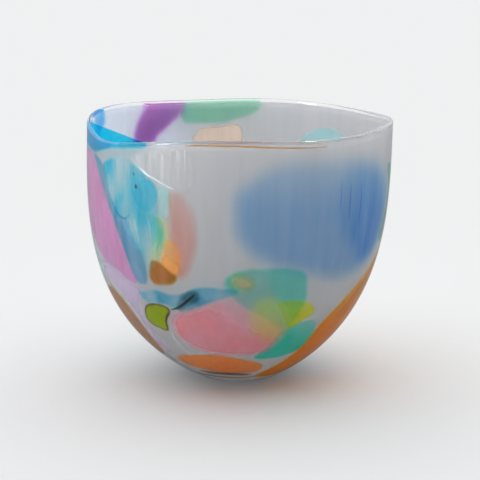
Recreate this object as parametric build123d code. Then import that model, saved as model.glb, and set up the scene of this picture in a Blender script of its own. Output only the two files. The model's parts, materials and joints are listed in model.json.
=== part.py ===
# A free-blown art glass bowl, built up in layers the way it is gathered and blown:
# a clear inner gather, a milky white layer over it, shards of coloured glass laid on
# the white in two passes, a clear casing over them all, and a fire-polished lip.
#
# Millimetres, +Z up.  The origin is the centre of the ground flat that the bowl
# stands on.  The front is -Y, and angles run anticlockwise from +X, seen from above.
# A level is a height on the wall, from 0 at the flat to 1 at the crest of the lip.

from build123d import *
from math import atan2, cos, degrees, hypot, pi, radians, sin
import os

# ---- Outer form ----------------------------------------------------------------
bowl_height = 169.0       # flat to the mean crest of the lip
belly_radius = 100.0      # mean radius at the widest place
belly_drop = 3.0          # widest place, below the crest
ground_depth = 8.5        # rounded bottom ground away to make the flat
side_power = 3.1          # how straight the sides stand
bottom_power = 1.5        # how full the bottom is
sway = 1.35               # lean of the lower body towards -X

# Hand-blown unevenness: (lobes round the bowl, size, direction of the first lobe)
plan_lobes = ((2, 0.011, -61), (3, 0.024, 24), (4, 0.022, -29))   # share of the radius
lip_waves = ((1, 2.9, 60), (2, 2.0, -61), (3, 1.2, 19), (4, 1.4, -17))   # mm up and down

# ---- Layers, from outside to inside: (thickness at the lip, thickness at the flat)
skin = (0.8, 2.2)         # clear glass outside the colour
shard_pass = (0.6, 0.6)   # one pass of coloured shards; there are two
opal = (0.5, 0.7)         # milky white layer under the shards
gather = (0.8, 6.5)       # clear inner gather, thick in the bottom
thinning = 3              # how fast the bottom's thickness dies away up the wall

# ---- Lip -----------------------------------------------------------------------
lip_height = 4.5          # band at the top where the layers are melted together
lip_swell = 0.1           # how much the bead stands proud of the wall on each side

# ---- Drawing the surfaces --------------------------------------------------------
floor_ring = 12.0         # radius of the level middle of each inner surface
wall_levels = (0.01, 0.03, 0.07, 0.13, 0.20, 0.28, 0.38, 0.50, 0.62, 0.74, 0.85, 0.93)
spokes = 36               # points round each ring
lip_arc_steps = (0, 30, 60, 90, 120, 150, 180)
block_margin = 6.0        # how far a shard's block runs past the wall

# ---- Coloured shards: name, pass, outline as (angle in degrees, level in percent)
# A first pass lies on the milky layer and a second pass lies on or beside the first.
# Within a pass an earlier shard keeps its outline and a later one fits against it.
first, second = 1, 2
shards = (
    # front left
    ("shard_aqua_lip", second, ((173, 96), (181, 102), (196, 103), (214, 103), (232, 103), (242, 101),
                                (239, 97), (230, 95), (219, 94), (207, 93), (195, 93), (182, 93))),
    ("shard_pink_left", second, ((178, 89), (187, 92), (197, 91), (204, 87), (209, 82), (216, 74),
                                 (220, 67), (223, 61), (225, 56), (227, 50), (229, 46), (224, 46),
                                 (217, 49), (210, 50), (204, 52), (198, 55), (190, 61), (180, 72))),
    ("shard_turquoise", second, ((211, 90), (219, 93), (227, 94), (233, 91), (238, 87), (241, 84),
                                 (242, 79), (244, 74), (245, 70), (244, 65), (242, 60), (239, 54),
                                 (236, 51), (234, 55), (231, 60), (227, 65), (223, 70), (218, 74),
                                 (216, 79), (213, 85))),
    ("shard_steel_band", first, ((198, 92), (206, 91), (212, 88), (214, 82), (218, 76), (223, 71),
                                 (228, 70), (229, 66), (232, 61), (234, 56), (235, 50), (233, 46),
                                 (229, 46), (227, 50), (225, 56), (223, 61), (220, 67), (216, 74),
                                 (209, 82), (203, 88))),
    ("shard_sky_chip", first, ((232, 81), (235, 85), (238, 86), (241, 85), (242, 82), (242, 78),
                               (240, 75), (237, 74), (233, 76))),
    ("shard_sky_sliver", first, ((243, 84), (245, 84), (247, 82), (247, 77), (246, 73), (244, 73),
                                 (243, 78))),
    ("shard_umber_chip", first, ((238, 56), (242, 55), (245, 53), (248, 51), (246, 48), (241, 47),
                                 (237, 47), (236, 50), (237, 53))),
    ("shard_salmon", first, ((248, 82), (250, 82), (253, 79), (255, 75), (256, 69), (256, 63), (254, 57),
                             (252, 52), (249, 50), (247, 53), (247, 58), (247, 64), (247, 70), (247, 77))),
    ("shard_citron", first, ((242, 73), (245, 71), (246, 68), (246, 64), (243, 59), (240, 56), (237, 56),
                             (239, 61), (241, 65), (241, 69))),
    ("shard_orange_wedge", second, ((246, 65), (248, 64), (250, 61), (250, 56), (248, 51), (245, 53),
                                    (242, 55), (244, 60))),
    ("shard_powder_blue", first, ((176, 66), (186, 63), (193, 58), (198, 54), (200, 49), (199, 44),
                                  (190, 42), (178, 47))),
    # front right
    ("shard_sky_oval", first, ((270, 78), (271, 82), (274, 85), (278, 88), (284, 91), (293, 92),
                               (306, 92), (320, 91), (331, 88), (339, 83), (343, 76), (343, 67),
                               (340, 59), (335, 54), (328, 50), (317, 48), (304, 50), (294, 53),
                               (284, 56), (277, 60), (272, 65), (270, 71))),
    ("shard_cobalt_oval", second, ((307, 82), (313, 88), (323, 88), (331, 83), (336, 76), (337, 67),
                                   (335, 58), (330, 53), (323, 54), (316, 60), (310, 67), (306, 75))),
    ("shard_seafoam", second, ((341, 86), (348, 84), (353, 79), (356, 72), (356, 65), (350, 60),
                               (342, 56), (339, 58), (342, 64), (344, 71), (343, 79))),
    # front low
    ("shard_steel_streak", second, ((228, 42), (233, 43), (238, 44), (242, 43), (246, 43), (251, 45),
                                    (256, 47), (264, 47), (272, 46), (268, 44), (262, 42), (257, 40),
                                    (252, 38), (246, 37), (242, 39), (237, 39), (231, 39))),
    ("shard_charcoal_knot", first, ((248, 42), (252, 45), (256, 45), (256, 42), (252, 40), (249, 38),
                                    (246, 37), (246, 39))),
    ("shard_olive", second, ((228, 34), (231, 37), (235, 38), (239, 38), (242, 37), (240, 34), (238, 31),
                             (237, 27), (232, 28), (228, 29), (227, 31))),
    ("shard_sand_chip", first, ((268, 51), (271, 53), (274, 52), (276, 50), (277, 47), (274, 46),
                                (270, 47))),
    ("shard_teal", first, ((266, 50), (269, 53), (274, 54), (281, 54), (288, 54), (293, 53), (297, 51),
                           (298, 47), (299, 42), (298, 37), (296, 33), (294, 29), (288, 31), (280, 36),
                           (273, 40), (268, 45))),
    ("shard_lime", second, ((287, 41), (293, 41), (299, 40), (303, 38), (305, 35), (303, 33), (300, 32),
                            (297, 30), (294, 29), (291, 34))),
    ("shard_rose_low", second, ((242, 29), (244, 34), (249, 36), (258, 40), (265, 43), (269, 46),
                                (271, 51), (275, 53), (279, 53), (283, 48), (288, 40), (292, 33),
                                (294, 28), (291, 24), (287, 20), (281, 18), (272, 18), (261, 18),
                                (251, 20), (245, 23), (242, 26))),
    ("shard_green_low", first, ((280, 16), (284, 19), (288, 23), (291, 28), (295, 30), (301, 31),
                                (307, 31), (310, 27), (310, 22), (308, 18), (302, 16), (294, 15),
                                (286, 15))),
    ("shard_lilac", first, ((202, 48), (210, 49), (218, 48), (224, 45), (229, 43), (227, 39), (225, 34),
                            (225, 29), (226, 23), (228, 17), (224, 14), (222, 20), (221, 27), (218, 34),
                            (213, 40), (206, 43))),
    ("shard_rust", first, ((197, 38), (205, 39), (211, 37), (216, 32), (219, 26), (220, 19), (217, 13),
                           (206, 12), (194, 17), (187, 27), (190, 35))),
    ("shard_orange_foot", first, ((228, 12), (236, 15), (245, 16), (256, 17), (268, 16), (278, 14),
                                  (287, 11), (286, 8), (275, 7), (259, 7), (245, 8), (234, 9))),
    ("shard_amber_crescent", second, ((286, 5), (296, 9), (304, 14), (308, 19), (310, 24), (313, 29),
                                      (317, 33), (322, 37), (327, 41), (332, 44), (338, 48), (346, 52),
                                      (356, 52), (5, 47), (9, 36), (4, 24), (352, 14), (334, 7),
                                      (314, 3), (298, 3))),
    ("shard_yellow_band", first, ((321, 31), (326, 35), (330, 39), (335, 43), (340, 48), (346, 52),
                                  (352, 50), (348, 43), (341, 37), (335, 32), (328, 28))),
    # back, near the lip
    ("shard_purple", second, ((135, 79), (136, 84), (135, 90), (132, 95), (129, 99), (124, 102),
                              (114, 103), (104, 102), (109, 99), (113, 97), (118, 93), (122, 90),
                              (126, 87), (128, 83), (129, 79), (132, 76))),
    ("shard_mint", first, ((115, 95), (113, 98), (109, 101), (103, 103), (92, 103), (83, 102), (80, 98),
                           (82, 95), (88, 93), (97, 91), (104, 91), (110, 91), (114, 92))),
    ("shard_peach", second, ((110, 84), (108, 87), (104, 89), (98, 89), (92, 90), (89, 89), (88, 85),
                             (89, 80), (94, 76), (103, 76), (109, 79))),
    ("shard_pale_blue", first, ((64, 82), (62, 85), (58, 88), (52, 90), (46, 90), (41, 88), (36, 84),
                                (36, 76), (44, 71), (56, 72), (63, 76))),
    ("shard_ice", first, ((165, 96), (163, 100), (158, 101), (155, 99), (154, 95), (158, 92), (162, 92))),
    # back, low on the wall
    ("shard_amber_back", second, ((18, 44), (30, 53), (44, 52), (52, 40), (46, 27), (31, 22), (19, 30))),
    ("shard_blush_back", first, ((72, 50), (80, 64), (96, 68), (110, 61), (114, 48), (104, 38),
                                 (86, 37))),
    ("shard_teal_back", second, ((112, 32), (120, 43), (136, 45), (148, 36), (142, 23), (126, 18),
                                 (114, 23))),
    ("shard_coral_back", first, ((138, 56), (146, 69), (159, 73), (169, 64), (168, 50), (156, 43),
                                 (143, 46))),
    ("shard_violet_back", first, ((14, 68), (20, 78), (29, 77), (32, 66), (26, 57), (17, 59))),
    ("shard_orange_back", first, ((56, 22), (66, 31), (82, 31), (92, 22), (86, 12), (70, 9), (58, 13))),
)

# ---- Worked out from the sizes above ----------------------------------------------
belly_height = bowl_height - belly_drop
seat_level = 1 - lip_height / bowl_height
percent = 0.01


def stack(*layers):
    """Thickness at the lip and at the flat of several layers together."""
    return tuple(sum(ends) for ends in zip((0.0, 0.0), *layers))


outside = stack()
colour_top = stack(skin)
colour_middle = stack(skin, shard_pass)
opal_top = stack(skin, shard_pass, shard_pass)
gather_top = stack(skin, shard_pass, shard_pass, opal)
inside = stack(skin, shard_pass, shard_pass, opal, gather)


def side_radius(level):
    """Mean outer radius at a level."""
    rise = (level * bowl_height + ground_depth) / (belly_height + ground_depth)
    return belly_radius * (1 - abs(1 - rise) ** side_power) ** (1 / bottom_power)


def waves(table, angle):
    return sum(size * cos(lobes * radians(angle - towards)) for lobes, size, towards in table)


def place(radius, height, level, angle):
    """A point of the bowl, with the hand-blown unevenness added to a radius and a height."""
    uneven = radius * (1 + level ** 2 * waves(plan_lobes, angle))
    return Vector(
        uneven * cos(radians(angle)) - sway * sin(pi * max(level, 0) ** 0.66),
        uneven * sin(radians(angle)),
        height + level ** 6 * waves(lip_waves, angle),
    )


def wall_slope(level):
    """Change of radius with height."""
    step = 0.001
    return (side_radius(level + step) - side_radius(level - step)) / (2 * step * bowl_height)


def depth_at(surface, level):
    at_lip, at_flat = surface
    return at_lip + (at_flat - at_lip) * (1 - level) ** thinning


def wall_point(surface, level, angle):
    """A point on one of the bowl's surfaces, inwards from the outside by its depth."""
    slope = wall_slope(level)
    depth = depth_at(surface, level) / hypot(1, slope)
    return place(side_radius(level) - depth, level * bowl_height + depth * slope, level, angle)


def ring(point_at):
    """A closed curve round the bowl through the points that point_at gives for each angle."""
    angles = [360 * spoke / spokes for spoke in range(spokes)]
    curve = Edge.make_spline(
        [point_at(angle) for angle in angles],
        periodic=True,
        parameters=angles + [360],
    )
    return Wire([curve])


def foot_ring(surface):
    """The lowest ring: the edge of the ground flat, or the level middle further in."""
    if surface == outside:
        return ring(lambda angle: place(side_radius(0), 0, 0, angle))
    return ring(lambda angle: place(floor_ring, depth_at(surface, 0), 0, angle))


def seat_ring(surface):
    return ring(lambda angle: wall_point(surface, seat_level, angle))


def wall_face(surface):
    """The wall of one surface, from its lowest ring to the seat of the lip."""
    rings = [foot_ring(surface)]
    for level in wall_levels:
        rings.append(ring(lambda angle: wall_point(surface, level, angle)))
    rings.append(seat_ring(surface))
    return Shell.make_loft(rings).faces()


def seat_face(outer, inner):
    """The band between two surfaces at the seat of the lip."""
    return Face.make_surface_from_curves(seat_ring(outer), seat_ring(inner)).faces()


def closed_solid(faces):
    solid = Solid(Shell(faces))
    return solid if solid.volume > 0 else Solid(Shell([-face for face in faces]))


def layer(outer, inner):
    """The glass between two surfaces, open at the top as the bowl is."""
    faces = [*wall_face(outer), *wall_face(inner), *seat_face(outer, inner)]
    faces += [Face(foot_ring(outer)), Face(foot_ring(inner))]
    return closed_solid(faces)


def shard_block(outline):
    """A prism square to the wall at the middle of a shard, with the shard's outline."""
    points = [wall_point(colour_middle, level * percent, angle) for angle, level in outline]
    middle = sum(points, Vector()) / len(points)
    angle = degrees(atan2(middle.Y, middle.X))
    level = sum(level for _, level in outline) * percent / len(outline)
    outward = Vector(cos(radians(angle)), sin(radians(angle)), -wall_slope(level))
    plane = Plane(origin=middle, z_dir=outward)
    flat = [plane.to_local_coords(point) for point in points]
    bottom = min(point.Z for point in flat) - block_margin
    top = max(point.Z for point in flat) + block_margin
    loop = Edge.make_spline([Vector(point.X, point.Y, bottom) for point in flat], periodic=True)
    prism = Solid.extrude(Face(Wire([loop])), Vector(0, 0, top - bottom))
    return plane.from_local_coords(prism)


def boxes_meet(one, other):
    a, b = one.bounding_box(), other.bounding_box()
    return (
        a.min.X < b.max.X
        and b.min.X < a.max.X
        and a.min.Y < b.max.Y
        and b.min.Y < a.max.Y
        and a.min.Z < b.max.Z
        and b.min.Z < a.max.Z
    )


def largest(shape):
    """The biggest solid of a cut, without the crumbs at its edges."""
    return max(shape.solids(), key=lambda solid: solid.volume)


def one_pass(which, outer, inner):
    """One pass of shards, and the clear glass of the same thickness that runs between them."""
    glass = layer(outer, inner)
    laid = {}
    blocks = {}
    for name, turn, outline in shards:
        if turn != which:
            continue
        block = shard_block(outline)
        piece = glass & block
        for other in laid:
            if boxes_meet(piece, laid[other]):
                piece = piece - blocks[other]
        blocks[name] = block
        laid[name] = largest(piece)
    return laid, largest(glass - list(blocks.values()))


def make_lip():
    """The fire-polished bead that rounds off the edge of all the layers."""
    centre = depth_at(inside, seat_level) / 2
    radius = centre + lip_swell
    level = 1 - radius / bowl_height

    def bead_ring(turn):
        across, up = radius * cos(radians(turn)), radius * sin(radians(turn))
        return ring(
            lambda angle: place(
                side_radius(level) - centre + across, level * bowl_height + up, level, angle
            )
        )

    rings = [seat_ring(outside), *(bead_ring(turn) for turn in lip_arc_steps), seat_ring(inside)]
    surfaces = (outside, colour_top, colour_middle, opal_top, gather_top, inside)
    faces = [*Shell.make_loft(rings).faces()]
    for outer, inner in zip(surfaces, surfaces[1:]):
        faces += seat_face(outer, inner)
    return closed_solid(faces)


def main():
    second_shards, second_coat = one_pass(second, colour_top, colour_middle)
    first_shards, first_coat = one_pass(first, colour_middle, opal_top)
    nodes = {
        "outer_casing": layer(outside, colour_top),
        "second_coat": second_coat,
        **second_shards,
        "first_coat": first_coat,
        **first_shards,
        "opal_layer": layer(opal_top, gather_top),
        "inner_gather": layer(gather_top, inside),
        "lip_bead": make_lip(),
    }
    os.makedirs("parts", exist_ok=True)
    for name, solid in nodes.items():
        export_step(solid, f"parts/{name}.step")
        print(f"{name}: {solid.volume / 1000:.2f} cm3")


main()
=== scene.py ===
import json
from math import atan2, cos, hypot, pi, radians, sin, sqrt
import bmesh
import bpy
import numpy as np
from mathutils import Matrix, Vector, noise
from mathutils.geometry import delaunay_2d_cdt

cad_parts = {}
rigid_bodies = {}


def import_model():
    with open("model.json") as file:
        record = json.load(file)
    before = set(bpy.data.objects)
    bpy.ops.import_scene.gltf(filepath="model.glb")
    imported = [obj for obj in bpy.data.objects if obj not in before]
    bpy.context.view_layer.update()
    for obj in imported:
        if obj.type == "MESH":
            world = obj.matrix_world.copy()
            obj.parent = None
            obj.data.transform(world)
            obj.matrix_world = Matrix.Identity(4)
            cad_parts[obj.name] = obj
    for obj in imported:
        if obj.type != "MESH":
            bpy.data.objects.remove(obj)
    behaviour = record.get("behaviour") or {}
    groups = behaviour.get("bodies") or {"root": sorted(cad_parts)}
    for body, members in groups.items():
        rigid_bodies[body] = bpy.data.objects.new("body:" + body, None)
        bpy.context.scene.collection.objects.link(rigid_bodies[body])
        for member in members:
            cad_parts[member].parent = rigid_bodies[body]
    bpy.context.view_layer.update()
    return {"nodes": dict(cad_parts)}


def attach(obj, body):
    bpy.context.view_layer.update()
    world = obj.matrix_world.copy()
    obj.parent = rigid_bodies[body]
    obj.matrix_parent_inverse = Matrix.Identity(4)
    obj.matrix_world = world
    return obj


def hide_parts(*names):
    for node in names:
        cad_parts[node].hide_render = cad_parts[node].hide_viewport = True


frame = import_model()
nodes = frame["nodes"]
scene = bpy.context.scene
mm = 0.001
print("frame loaded, %d nodes" % len(nodes))


# the bowl's form: a rounded profile, leaning and a little out of round
form = {
    "height": 169 * mm,      # flat to the mean crest of the lip
    "belly": 100 * mm,
    "bellyDrop": 3 * mm,     # widest place, below the crest
    "ground": 8.5 * mm,      # rounded bottom that was ground away
    "sidePower": 3.1,
    "bottomPower": 1.5,
    "sway": 1.35 * mm,
    "lobe": ((2, 0.011, -61), (3, 0.024, 24), (4, 0.022, -29)),
    "wave": ((1, 2.9 * mm, 60), (2, 2.0 * mm, -61), (3, 1.2 * mm, 19), (4, 1.4 * mm, -17)),
    "thinning": 3,           # how fast the bottom's thickness dies away up the wall
    "lipHeight": 4.5 * mm,   # band at the top where the layers run together
    "lobePower": 2,          # how the lobes, the waves and the sway grow up the wall
    "wavePower": 6,
    "swayPower": 0.66,
}
beadFoot = 1 - form["lipHeight"] / form["height"]    # level where the bead begins

# depths under the outside, at the lip and at the flat
depths = {
    "outside": (0.0, 0.0),
    "second": (1.1 * mm, 2.5 * mm),
    "first": (1.7 * mm, 3.1 * mm),
    "opalTop": (2.06 * mm, 3.46 * mm),
    "opalBottom": (2.44 * mm, 4.04 * mm),
    "inside": (3.3 * mm, 10.6 * mm),
}


def sideRadius(level):
    top = form["height"] - form["bellyDrop"] + form["ground"]
    rise = (level * form["height"] + form["ground"]) / top
    return form["belly"] * (1 - abs(1 - rise) ** form["sidePower"]) ** (1 / form["bottomPower"])


def wallSlope(level):
    step = 0.001
    return (sideRadius(level + step) - sideRadius(level - step)) / (2 * step * form["height"])


def depthAt(surface, level):
    atLip, atFlat = depths[surface]
    return atLip + (atFlat - atLip) * max(1 - level, 0) ** form["thinning"]


# radius and height of a surface on the mean section
def sectionPoint(surface, level, extra=0.0):
    slope = wallSlope(level)
    depth = (depthAt(surface, level) + extra) / hypot(1, slope)
    return sideRadius(level) - depth, level * form["height"] + depth * slope


def uneven(table, angle):
    return sum(size * cos(lobes * (angle - radians(towards))) for lobes, size, towards in table)


def leanAt(level):
    return form["sway"] * sin(pi * max(level, 0.0) ** form["swayPower"])


# the same unevenness that the node tree gives the glass
def place(radius, height, angle):
    level = height / form["height"]
    r = radius * (1 + level ** form["lobePower"] * uneven(form["lobe"], angle))
    return Vector((r * cos(angle) - leanAt(level), r * sin(angle),
                   height + level ** form["wavePower"] * uneven(form["wave"], angle)))


def wallPoint(surface, level, angle, extra=0.0):
    return place(*sectionPoint(surface, level, extra), angle)


# small helpers for node trees
def addNode(tree, kind, inputs=None, **settings):
    node = tree.nodes.new(kind)
    for key, value in settings.items():
        setattr(node, key, value)
    for key, value in (inputs or {}).items():
        if isinstance(value, bpy.types.NodeSocket):
            tree.links.new(value, node.inputs[key])
        else:
            node.inputs[key].default_value = value
    return node


# a node's first output
def made(tree, kind, inputs=None, **settings):
    return addNode(tree, kind, inputs, **settings).outputs[0]


def calc(tree, operation, a, b=0.0, c=None):
    inputs = {0: a, 1: b}
    if c is not None:
        inputs[2] = c
    return made(tree, "ShaderNodeMath", inputs, operation=operation)


def times(tree, a, b):
    return calc(tree, "MULTIPLY", a, b)


# a Geometry Nodes tree that takes a mesh, named values and a material
def startTree(name, values):
    tree = bpy.data.node_groups.new(name, "GeometryNodeTree")
    face = tree.interface
    face.new_socket("Geometry", in_out="INPUT", socket_type="NodeSocketGeometry")
    for label, value in values:
        kind = "NodeSocketInt" if isinstance(value, int) else "NodeSocketFloat"
        face.new_socket(label, in_out="INPUT", socket_type=kind).default_value = value
    face.new_socket("Glass", in_out="INPUT", socket_type="NodeSocketMaterial")
    face.new_socket("Geometry", in_out="OUTPUT", socket_type="NodeSocketGeometry")
    return tree, addNode(tree, "NodeGroupInput").outputs


def endTree(tree, geometry, glass):
    real = made(tree, "GeometryNodeRealizeInstances", {"Geometry": geometry})
    finish = made(tree, "GeometryNodeSetMaterial", {"Geometry": real, "Material": glass})
    addNode(tree, "NodeGroupOutput", {"Geometry": finish})
    return tree


# turns a profile round the axis and makes it as uneven as blown glass
def blownFormTree():
    values = [("Spokes", 180), ("Height", form["height"]), ("Sway", form["sway"])]
    for word in ("Lobe", "Wave"):
        for lobes, size, towards in form[word.lower()]:
            name = "%s %d" % (word, lobes)
            values += [(name, size), (name + " Angle", radians(towards))]
    tree, given = startTree("blownForm", values)
    counted = addNode(tree, "GeometryNodeAttributeDomainSize", {"Geometry": given["Geometry"]})
    points = counted.outputs["Point Count"]
    grid = addNode(tree, "GeometryNodeMeshGrid", {
        "Vertices X": calc(tree, "ADD", given["Spokes"], 1), "Vertices Y": points})
    index = made(tree, "GeometryNodeInputIndex")
    spoke = calc(tree, "FLOOR", calc(tree, "DIVIDE", calc(tree, "ADD", index, 0.5), points))
    along = calc(tree, "SUBTRACT", index, times(tree, spoke, points))
    angle = times(tree, calc(tree, "DIVIDE", spoke, given["Spokes"]), 2 * pi)
    position = made(tree, "GeometryNodeInputPosition")
    sampled = made(tree, "GeometryNodeSampleIndex", {
        "Geometry": given["Geometry"], "Value": position, "Index": along},
        data_type="FLOAT_VECTOR")
    profile = addNode(tree, "ShaderNodeSeparateXYZ", {0: sampled}).outputs
    level = calc(tree, "DIVIDE", profile["Z"], given["Height"])

    def summed(word):
        total = 0.0
        for lobes, _, _ in form[word.lower()]:
            name = "%s %d" % (word, lobes)
            turned = calc(tree, "SUBTRACT", angle, given[name + " Angle"])
            lobe = calc(tree, "COSINE", times(tree, turned, lobes))
            total = calc(tree, "MULTIPLY_ADD", lobe, given[name], total)
        return total

    def grown(power):
        return calc(tree, "POWER", level, form[power])

    swell = times(tree, summed("Lobe"), grown("lobePower"))
    radius = times(tree, profile["X"], calc(tree, "ADD", swell, 1))
    raised = calc(tree, "POWER", calc(tree, "MAXIMUM", level, 0), form["swayPower"])
    arc = times(tree, raised, pi)
    lean = times(tree, calc(tree, "SINE", arc), given["Sway"])
    lift = times(tree, summed("Wave"), grown("wavePower"))
    across = times(tree, radius, calc(tree, "COSINE", angle))
    spot = made(tree, "ShaderNodeCombineXYZ", {
        "X": calc(tree, "SUBTRACT", across, lean),
        "Y": times(tree, radius, calc(tree, "SINE", angle)),
        "Z": calc(tree, "ADD", profile["Z"], lift)})
    moved = made(tree, "GeometryNodeSetPosition",
                 {"Geometry": grid.outputs["Mesh"], "Position": spot})
    merged = made(tree, "GeometryNodeMergeByDistance", {"Geometry": moved, "Distance": 0.01 * mm})
    smooth = made(tree, "GeometryNodeSetShadeSmooth", {"Geometry": merged})
    return endTree(tree, smooth, given["Glass"])


def setInput(modifier, name, value):
    for item in modifier.node_group.interface.items_tree:
        if item.item_type == "SOCKET" and item.in_out == "INPUT" and item.name == name:
            modifier[item.identifier] = value


def link(name, mesh):
    piece = bpy.data.objects.new(name, mesh)
    scene.collection.objects.link(piece)
    return piece


# run a node tree on a starting mesh and keep the result as a plain mesh
def fromTree(name, start, tree, material, **values):
    carrier = link(name + "Start", start)
    modifier = carrier.modifiers.new("shape", "NODES")
    modifier.node_group = tree
    setInput(modifier, "Glass", material)
    for key, value in values.items():
        setInput(modifier, key, value)
    bpy.context.view_layer.update()
    got = carrier.evaluated_get(bpy.context.evaluated_depsgraph_get())
    mesh = bpy.data.meshes.new_from_object(got)
    bpy.data.objects.remove(carrier)
    mesh.name = name
    outwards(mesh)
    return link(name, mesh)


def outwards(mesh):
    shape = bmesh.new()
    shape.from_mesh(mesh)
    if shape.calc_volume(signed=True) < 0:
        bmesh.ops.reverse_faces(shape, faces=shape.faces)
    shape.to_mesh(mesh)
    shape.free()
    mesh.validate()


def meshFrom(shape, name):
    mesh = bpy.data.meshes.new(name)
    shape.to_mesh(mesh)
    shape.free()
    return mesh


def newMesh(name, verts, faces):
    mesh = bpy.data.meshes.new(name)
    mesh.from_pydata(verts, [], faces)
    mesh.shade_smooth()
    outwards(mesh)
    return mesh


# faces between rows of points that run round and close
def wrapped(rows, sides):
    return [[row * sides + n, row * sides + (n + 1) % sides,
             (row + 1) * sides + (n + 1) % sides, (row + 1) * sides + n]
            for row in range(rows) for n in range(sides)]


def settle(piece, slot, *replaced):
    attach(piece, "root")
    if replaced:
        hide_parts(*replaced)
    return piece


def lay(name, mesh, glass, slot, *replaced):
    mesh.materials.append(glass)
    settle(link(name, mesh), slot, *replaced)


# materials
def newMaterial(name):
    material = bpy.data.materials.new(name)
    material.use_nodes = True
    material.node_tree.nodes.clear()
    return material, material.node_tree


def mixShaders(tree, factor, first, second):
    return made(tree, "ShaderNodeMixShader", {0: factor, 1: first, 2: second})


def finished(material, shader):
    addNode(material.node_tree, "ShaderNodeOutputMaterial", {"Surface": shader})
    return material


# the colour sockets of this node are 6 and 7 going in, and 2 coming out
def mixColours(tree, factor, first, second):
    return addNode(tree, "ShaderNodeMix", {0: factor, 6: first, 7: second},
                   data_type="RGBA").outputs[2]


def scaled(tree, value, low, high, newLow, newHigh, kind="LINEAR"):
    return made(tree, "ShaderNodeMapRange", {
        "Value": value, "From Min": low, "From Max": high, "To Min": newLow, "To Max": newHigh},
        interpolation_type=kind)


def onPiece(tree):
    return addNode(tree, "ShaderNodeTexCoord").outputs["Object"]


# coordinates in which a pattern is drawn out up the wall
def drawnUp(tree, spot, share):
    return made(tree, "ShaderNodeMapping", {"Vector": spot, "Scale": (1, 1, share)})


def noiseOn(tree, spot, scale, detail=2.0, seed=None):
    inputs = {"Vector": spot, "Scale": scale, "Detail": detail}
    if seed is None:
        return made(tree, "ShaderNodeTexNoise", inputs)
    return made(tree, "ShaderNodeTexNoise", {**inputs, "W": seed}, noise_dimensions="4D")


def measured(tree, operation, first, second):
    return addNode(tree, "ShaderNodeVectorMath", {0: first, 1: second},
                   operation=operation).outputs["Value"]


def maskGroup(name, inputs, outputs):
    tree = bpy.data.node_groups.new(name, "ShaderNodeTree")
    face = tree.interface
    for label, value in inputs:
        face.new_socket(label, in_out="INPUT", socket_type="NodeSocketFloat").default_value = value
    for label in outputs:
        face.new_socket(label, in_out="OUTPUT", socket_type="NodeSocketFloat")
    return tree, addNode(tree, "NodeGroupInput").outputs


# fine streaks that run up the wall where the glass was drawn out, and slow clouds
def drawnGlassGroup():
    inputs = (("Streaks Per Metre", 220.0), ("Clouds Per Metre", 26.0), ("Seed", 0.0))
    tree, given = maskGroup("drawnGlass", inputs, ("Streaks", "Clouds"))
    spot = onPiece(tree)
    masks = {}
    for label, share in (("Streaks", 0.06), ("Clouds", 0.5)):
        grain = noiseOn(tree, drawnUp(tree, spot, share), given[label + " Per Metre"],
                        seed=given["Seed"])
        masks[label] = scaled(tree, grain, 0.3, 0.7, 0.0, 1.0)
    addNode(tree, "NodeGroupOutput", masks)
    return tree


# how much colour is left from the middle of a shard out to its edge
def bleedGroup():
    tree, given = maskGroup("shardBleed", (("Depth", 1.0), ("Ragged", 0.2)), ("Amount",))
    ripple = noiseOn(tree, drawnUp(tree, onPiece(tree), 0.45), 70.0, 3.0)
    ripple = calc(tree, "SUBTRACT", ripple, 0.5)
    pushed = calc(tree, "MULTIPLY_ADD", ripple, given["Ragged"], given["Depth"])
    amount = scaled(tree, pushed, 0.06, 0.94, 0.0, 1.0, "SMOOTHSTEP")
    addNode(tree, "NodeGroupOutput", {"Amount": amount})
    return tree


drawnGlass = drawnGlassGroup()
shardBleed = bleedGroup()


def useGroup(tree, group, **inputs):
    node = addNode(tree, "ShaderNodeGroup", node_tree=group)
    for label, value in inputs.items():
        socket = node.inputs[label.replace("_", " ")]
        if isinstance(value, bpy.types.NodeSocket):
            tree.links.new(value, socket)
        else:
            socket.default_value = value
    return node.outputs


# lamps reach the colour inside: a shadow ray goes through the glass, less a little
def clearGlass():
    material, tree = newMaterial("clearGlass")
    clear = made(tree, "ShaderNodeBsdfPrincipled", {
        "Base Color": (1, 1, 1, 1), "Roughness": 0.0, "IOR": 1.5, "Transmission Weight": 1.0})
    through = made(tree, "ShaderNodeBsdfTransparent", {"Color": (0.96, 0.97, 0.97, 1)})
    shadow = addNode(tree, "ShaderNodeLightPath").outputs["Is Shadow Ray"]
    return finished(material, mixShaders(tree, shadow, clear, through))


opal = {
    "white": (0.825, 0.83, 0.845), "litCool": (0.78, 0.83, 0.93),
    "letThrough": 0.72, "clear": 0.05, "litClear": 0.38,
    "litSide": (-0.87, 0.5, 0), "litFrom": 0.072, "litTo": 0.10,    # metres out to that side
    "top": 0.987,
}
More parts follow.
